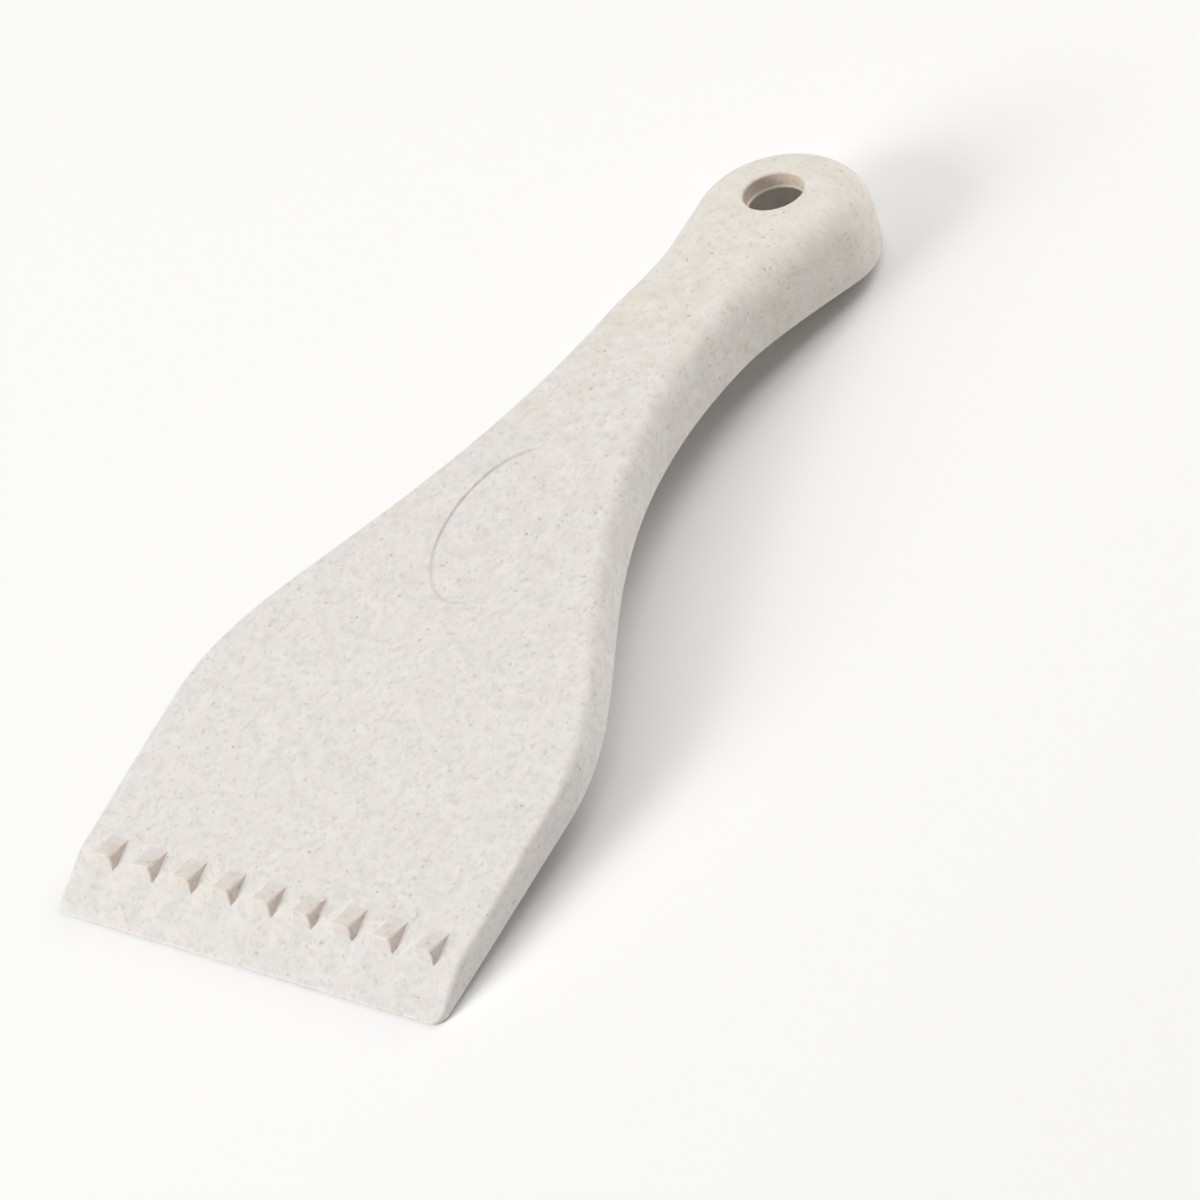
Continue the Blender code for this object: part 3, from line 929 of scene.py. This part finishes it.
def handled_colour(n, where, colour):
    """The colour, yellower and more blotched towards the handle."""
    split = n.add("ShaderNodeSeparateXYZ")
    n.join(where, split.inputs["Vector"])
    along = split.outputs["Y"]
    handled = n.spread(along, HANDLED_START, HANDLED_END, 0.0, HANDLED_STRENGTH)
    colour = n.mix(handled, colour, HANDLED_COLOUR)
    noise = n.noise(where, BLOTCH_SCALE, BLOTCH_DETAIL, BLOTCH_ROUGHNESS)
    blotch = n.spread(noise, BLOTCH_LOW, BLOTCH_HIGH, 0.0, 1.0)
    near_handle = n.spread(along, BLOTCH_START, BLOTCH_END, 0.0, 1.0)
    blotches = n.mix(blotch, PALE_BLOTCH, BROWN_BLOTCH)
    return n.mix(near_handle, colour, blotches, blend="MULTIPLY")


def wiggled(n, where):
    """Coordinates shifted to and fro a little, so that no fibre is quite straight."""
    noise = n.noise(where, FIBRE_WIGGLE_SCALE, FIBRE_WIGGLE_DETAIL, output="Color")
    shift = n.add("ShaderNodeVectorMath", operation="MULTIPLY_ADD")
    n.join(noise, shift.inputs[0])
    shift.inputs[1].default_value = (FIBRE_WIGGLE, FIBRE_WIGGLE, FIBRE_WIGGLE)
    n.join(where, shift.inputs[2])
    return shift.outputs["Vector"]


def fibre_layer(n, where, layer):
    """Mask, strength and tint of one layer of fibres that lie in one direction."""
    turn, length, thickness, size, softness, share, weakest, strongest = layer
    mapping = n.add("ShaderNodeMapping", vector_type="TEXTURE")
    n.join(where, mapping.inputs["Vector"])
    mapping.inputs["Rotation"].default_value = tuple(math.radians(angle) for angle in turn)
    mapping.inputs["Scale"].default_value = (length, thickness, thickness)
    cells = n.add("ShaderNodeTexVoronoi", feature="F1")
    n.join(mapping.outputs["Vector"], cells.inputs["Vector"])
    cells.inputs["Scale"].default_value = 1.0
    split = n.add("ShaderNodeSeparateColor")
    n.join(cells.outputs["Color"], split.inputs["Color"])
    near = n.spread(cells.outputs["Distance"], size * (1.0 - softness), size, 1.0, 0.0)
    kept = n.number("LESS_THAN", split.outputs[0], share)
    mask = n.number("MULTIPLY", near, kept)
    strength = n.spread(split.outputs[1], 0.0, 1.0, weakest, strongest, smooth=False)
    return mask, n.number("MULTIPLY", mask, strength), n.ramp(split.outputs[2], FIBRE_COLOURS)


def plastic():
    """Pale matt plastic with straw fibres, some at the surface and some under it."""
    n = Nodes("straw_plastic")
    where = n.add("ShaderNodeTexCoord").outputs["Object"]
    colour = handled_colour(n, where, patchy_colour(n, where))
    relief = None
    winding = wiggled(n, where)
    for layer in FIBRE_LAYERS:
        mask, amount, tint = fibre_layer(n, winding, layer)
        colour = n.mix(amount, colour, tint)
        relief = mask if relief is None else n.number("MAXIMUM", relief, mask)
    # painted shade: brown tint multiplied in on the teeth's faces and in the hang hole
    painted_shade = n.add("ShaderNodeAttribute", attribute_name="painted_shade").outputs["Fac"]
    colour = n.mix(painted_shade, colour, PAINTED_SHADE_COLOUR, blend="MULTIPLY")
    n.surface(colour, PLASTIC_SURFACE)
    grain = n.noise(where, GRAIN_SCALE, GRAIN_DETAIL, GRAIN_ROUGHNESS)
    height = n.number("ADD", n.number("MULTIPLY", grain, GRAIN_HEIGHT),
                      n.number("MULTIPLY", relief, FIBRE_HEIGHT))
    bump = n.add("ShaderNodeBump")
    bump.inputs["Strength"].default_value = RELIEF_STRENGTH
    bump.inputs["Distance"].default_value = RELIEF_DISTANCE
    n.join(height, bump.inputs["Height"])
    n.join(bump.outputs["Normal"], n.shader.inputs["Normal"])
    return n.material


# Studio floor
FLOOR_HALF_WIDTH = 6.0
FLOOR_SEGMENTS = 2
FLOOR_COLOURS = ((0.945, 0.945, 0.945, 1.0), (0.955, 0.955, 0.955, 1.0))
FLOOR_NOISE_SCALE = 4.0
FLOOR_SURFACE = (("Roughness", 0.9), ("Specular IOR Level", 0.1))


def floor():
    """Plain pale studio floor."""
    bm = bmesh.new()
    bmesh.ops.create_grid(bm, x_segments=FLOOR_SEGMENTS, y_segments=FLOOR_SEGMENTS,
                          size=FLOOR_HALF_WIDTH)
    sheet = add_mesh("floor", bm)
    n = Nodes("studio_floor")
    where = n.add("ShaderNodeTexCoord").outputs["Object"]
    n.surface(n.mix(n.noise(where, FLOOR_NOISE_SCALE), *FLOOR_COLOURS), FLOOR_SURFACE)
    sheet.data.materials.append(n.material)
    return sheet


# Camera: where the photograph was taken from. Lens and sensor are in millimetres
CAMERA_TARGET = Vector((0.025812, -0.01419, 0.015))
CAMERA_DISTANCE = 1.42632
CAMERA_AZIMUTH = math.radians(50.785)
CAMERA_ELEVATION = math.radians(40.415)
CAMERA_ROLL = math.radians(24.018)
CAMERA_LENS = 239.0
SENSOR_WIDTH = 36.0
CLIP_START = 0.05
CLIP_END = 50.0


def camera():
    """Camera at the photograph's viewing angle."""
    data = bpy.data.cameras.new("camera")
    data.lens = CAMERA_LENS
    data.sensor_width = SENSOR_WIDTH
    data.clip_start = CLIP_START
    data.clip_end = CLIP_END
    back = Vector((math.sin(CAMERA_AZIMUTH) * math.cos(CAMERA_ELEVATION),
                   -math.cos(CAMERA_AZIMUTH) * math.cos(CAMERA_ELEVATION),
                   math.sin(CAMERA_ELEVATION)))
    thing = bpy.data.objects.new("camera", data)
    bpy.context.scene.collection.objects.link(thing)
    thing.location = CAMERA_TARGET + back * CAMERA_DISTANCE
    thing.rotation_mode = "QUATERNION"
    level = back.to_track_quat("Z", "Y")
    thing.rotation_quaternion = level @ Quaternion((0.0, 0.0, 1.0), -CAMERA_ROLL)
    bpy.context.scene.camera = thing


# Square lights, all aimed at the origin. Each: name, place, size, power and colour
LIGHTS = (
    ("front_left", (-0.80, -1.60, 0.90), 1.0, 25.5, (1.0, 0.995, 0.99)),
    ("high_left", (-0.90, -0.80, 1.90), 1.2, 10.0, (1.0, 1.0, 1.0)),
    ("top", (0.10, 0.40, 2.00), 1.6, 11.5, (1.0, 1.0, 1.0)),
    ("behind", (0.30, 1.60, 1.20), 1.2, 19.0, (1.0, 0.985, 0.96)),
    ("right", (1.50, 0.50, 1.00), 1.2, 4.6, (1.0, 0.975, 0.96)),
)
SURROUND_COLOUR = (1.0, 1.0, 1.0, 1.0)
SURROUND_STRENGTH = 0.05


def area_light(name, at, size, power, colour):
    """A soft square light that is aimed at the origin."""
    data = bpy.data.lights.new(name, "AREA")
    data.shape = "SQUARE"
    data.size = size
    data.energy = power
    data.color = colour
    thing = bpy.data.objects.new(name, data)
    bpy.context.scene.collection.objects.link(thing)
    thing.location = at
    thing.rotation_mode = "QUATERNION"
    thing.rotation_quaternion = Vector(at).to_track_quat("Z", "Y")


def studio():
    """Soft light from several sides, strongest from the front left, and a weak pale surround."""
    for light in LIGHTS:
        area_light(*light)
    world = bpy.data.worlds.new("studio")
    bpy.context.scene.world = world
    world.use_nodes = True
    back = world.node_tree.nodes["Background"]
    back.inputs["Color"].default_value = SURROUND_COLOUR
    back.inputs["Strength"].default_value = SURROUND_STRENGTH


def main():
    """Builds the picture."""
    scene = bpy.context.scene
    scene.view_settings.view_transform = "Standard"
    body = scraper()
    body.data.materials.clear()
    body.data.materials.append(plastic())
    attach(body, "root")
    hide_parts("scraper_body")
    floor()
    camera()
    studio()
    bpy.context.view_layer.update()


main()
